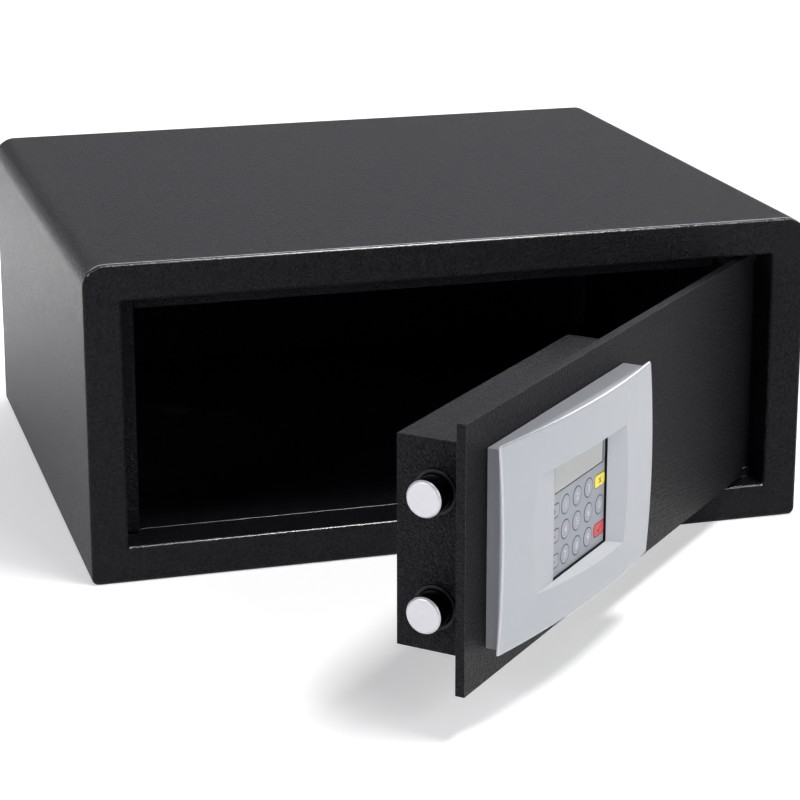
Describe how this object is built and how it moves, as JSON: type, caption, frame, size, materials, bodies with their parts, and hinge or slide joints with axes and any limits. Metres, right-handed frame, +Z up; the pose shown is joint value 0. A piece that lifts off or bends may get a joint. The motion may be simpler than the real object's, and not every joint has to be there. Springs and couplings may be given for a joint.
{
  "type": "electronic home safe",
  "caption": "Low black steel home safe for a laptop, with a keypad door on a side hinge standing half open and round locking bolts thrown.",
  "frame": {"origin": "on the underside of the case, at the centre of its 433 x 370 mm outline", "axes": "+Z up, -Y out of the front opening, +X to the right as seen from the front, so the door hinge is at +X"},
  "size_m": [0.433, 0.6256, 0.187],
  "materials": {
    "paint": "black orange-peel powder coat, semi-gloss",
    "black_plastic": "moulded, fine matt",
    "nylon": "natural nylon",
    "steel": "zinc plated",
    "chrome": "polished chrome on turned steel",
    "brass": "turned brass",
    "battery_wrap": "shrink wrap",
    "silver_plastic": "silver lacquer on moulded plastic, satin",
    "keypad_film": "printed grey film",
    "key_film": "light grey keys with a dark rim",
    "yellow_key": "yellow key",
    "red_key": "red key",
    "display_glass": "grey-green liquid crystal display behind a clear pane",
    "circuit": "solder mask"
  },
  "bodies": {
    "safe_case": {"case_shell": "paint", "front_frame": "paint", "back_panel": "paint", "door_stop_left": "paint", "door_stop_top": "paint", "raised_floor": "paint", "floor_plug_left": "black_plastic", "floor_plug_right": "black_plastic", "hinge_washer": "black_plastic"},
    "door": {"door_plate": "paint", "hinge_tab_bottom": "paint", "hinge_tab_top": "paint", "hinge_pin_bottom": "steel", "hinge_pin_top": "steel", "lock_housing": "paint", "housing_stud_front": "steel", "housing_stud_rear": "steel", "housing_screw_front": "steel", "housing_screw_rear": "steel", "bolt_bush_lower": "black_plastic", "bolt_bush_upper": "black_plastic", "gear_motor": "steel", "rack_guide": "nylon", "battery_tray": "black_plastic", "battery_1": "battery_wrap", "battery_2": "battery_wrap", "battery_3": "battery_wrap", "battery_4": "battery_wrap", "reset_switch": "black_plastic", "fascia_base": "silver_plastic", "fascia_cap": "silver_plastic", "keypad_panel": "keypad_film", "display_window": "display_glass", "circuit_board": "circuit", "lock_barrel": "brass", "motor_cable": "black_plastic"},
    "bolts": {"bolt_lower": "chrome", "bolt_upper": "chrome", "bolt_carrier": "steel"},
    "pinion": {"drive_pinion": "brass"},
    "lock_plug": {"lock_core": "brass", "lock_cam": "steel"},
    "loose_key_cover": {"key_cover": "silver_plastic"},
    "loose_battery_cover": {"battery_cover": "black_plastic"},
    "reset": {"reset_button": "red_key"},
    "function_key_top_body": {"function_key_top": "key_film"},
    "function_key_middle_body": {"function_key_middle": "key_film"},
    "function_key_bottom_body": {"function_key_bottom": "key_film"},
    "key_1_body": {"key_1": "key_film"},
    "key_2_body": {"key_2": "key_film"},
    "key_3_body": {"key_3": "key_film"},
    "key_4_body": {"key_4": "key_film"},
    "key_5_body": {"key_5": "key_film"},
    "key_6_body": {"key_6": "key_film"},
    "key_7_body": {"key_7": "key_film"},
    "key_8_body": {"key_8": "key_film"},
    "key_9_body": {"key_9": "key_film"},
    "key_yellow_body": {"key_yellow": "yellow_key"},
    "key_0_body": {"key_0": "key_film"},
    "key_red_body": {"key_red": "red_key"}
  },
  "joints": [
    {"name": "door_hinge", "type": "hinge", "parent": "safe_case", "child": "door", "pos_m": [0.188, -0.1675, 0.0935], "axis": [0, 0, 1], "range_deg": [-45.5, 54.5]},
    {"name": "bolt_throw", "type": "slide", "parent": "door", "child": "bolts", "axis": [-0.7009, -0.7133, 0], "range_m": [-0.012, 0]},
    {"name": "pinion_turn", "type": "hinge", "parent": "door", "child": "pinion", "pos_m": [-0.03556, -0.36589, 0.097], "axis": [-0.7133, 0.7009, 0], "range_deg": [-115, 0]},
    {"name": "emergency_lock_turn", "type": "hinge", "parent": "door", "child": "lock_plug", "pos_m": [0.04501, -0.313, 0.0935], "axis": [-0.7133, 0.7009, 0], "range_deg": [0, 90]},
    {"name": "key_cover_pull", "type": "slide", "parent": "door", "child": "loose_key_cover", "axis": [0.7133, -0.7009, 0], "range_m": [0, 0.05]},
    {"name": "battery_cover_pull", "type": "slide", "parent": "door", "child": "loose_battery_cover", "axis": [-0.7133, 0.7009, 0], "range_m": [0, 0.05]},
    {"name": "reset_press", "type": "slide", "parent": "door", "child": "reset", "axis": [0.7133, -0.7009, 0], "range_m": [0, 0.0012], "stiffness_N_per_m": 600},
    {"name": "function_key_top_press", "type": "slide", "parent": "door", "child": "function_key_top_body", "axis": [-0.7133, 0.7009, 0], "range_m": [0, 0.0007], "stiffness_N_per_m": 800},
    {"name": "function_key_middle_press", "type": "slide", "parent": "door", "child": "function_key_middle_body", "axis": [-0.7133, 0.7009, 0], "range_m": [0, 0.0007], "stiffness_N_per_m": 800},
    {"name": "function_key_bottom_press", "type": "slide", "parent": "door", "child": "function_key_bottom_body", "axis": [-0.7133, 0.7009, 0], "range_m": [0, 0.0007], "stiffness_N_per_m": 800},
    {"name": "key_1_press", "type": "slide", "parent": "door", "child": "key_1_body", "axis": [-0.7133, 0.7009, 0], "range_m": [0, 0.0007], "stiffness_N_per_m": 800},
    {"name": "key_2_press", "type": "slide", "parent": "door", "child": "key_2_body", "axis": [-0.7133, 0.7009, 0], "range_m": [0, 0.0007], "stiffness_N_per_m": 800},
    {"name": "key_3_press", "type": "slide", "parent": "door", "child": "key_3_body", "axis": [-0.7133, 0.7009, 0], "range_m": [0, 0.0007], "stiffness_N_per_m": 800},
    {"name": "key_4_press", "type": "slide", "parent": "door", "child": "key_4_body", "axis": [-0.7133, 0.7009, 0], "range_m": [0, 0.0007], "stiffness_N_per_m": 800},
    {"name": "key_5_press", "type": "slide", "parent": "door", "child": "key_5_body", "axis": [-0.7133, 0.7009, 0], "range_m": [0, 0.0007], "stiffness_N_per_m": 800},
    {"name": "key_6_press", "type": "slide", "parent": "door", "child": "key_6_body", "axis": [-0.7133, 0.7009, 0], "range_m": [0, 0.0007], "stiffness_N_per_m": 800},
    {"name": "key_7_press", "type": "slide", "parent": "door", "child": "key_7_body", "axis": [-0.7133, 0.7009, 0], "range_m": [0, 0.0007], "stiffness_N_per_m": 800},
    {"name": "key_8_press", "type": "slide", "parent": "door", "child": "key_8_body", "axis": [-0.7133, 0.7009, 0], "range_m": [0, 0.0007], "stiffness_N_per_m": 800},
    {"name": "key_9_press", "type": "slide", "parent": "door", "child": "key_9_body", "axis": [-0.7133, 0.7009, 0], "range_m": [0, 0.0007], "stiffness_N_per_m": 800},
    {"name": "key_yellow_press", "type": "slide", "parent": "door", "child": "key_yellow_body", "axis": [-0.7133, 0.7009, 0], "range_m": [0, 0.0007], "stiffness_N_per_m": 800},
    {"name": "key_0_press", "type": "slide", "parent": "door", "child": "key_0_body", "axis": [-0.7133, 0.7009, 0], "range_m": [0, 0.0007], "stiffness_N_per_m": 800},
    {"name": "key_red_press", "type": "slide", "parent": "door", "child": "key_red_body", "axis": [-0.7133, 0.7009, 0], "range_m": [0, 0.0007], "stiffness_N_per_m": 800}
  ],
  "couplings": [
    {"joint": "pinion_turn", "follows": "bolt_throw", "rad_per_m": 166.67}
  ]
}
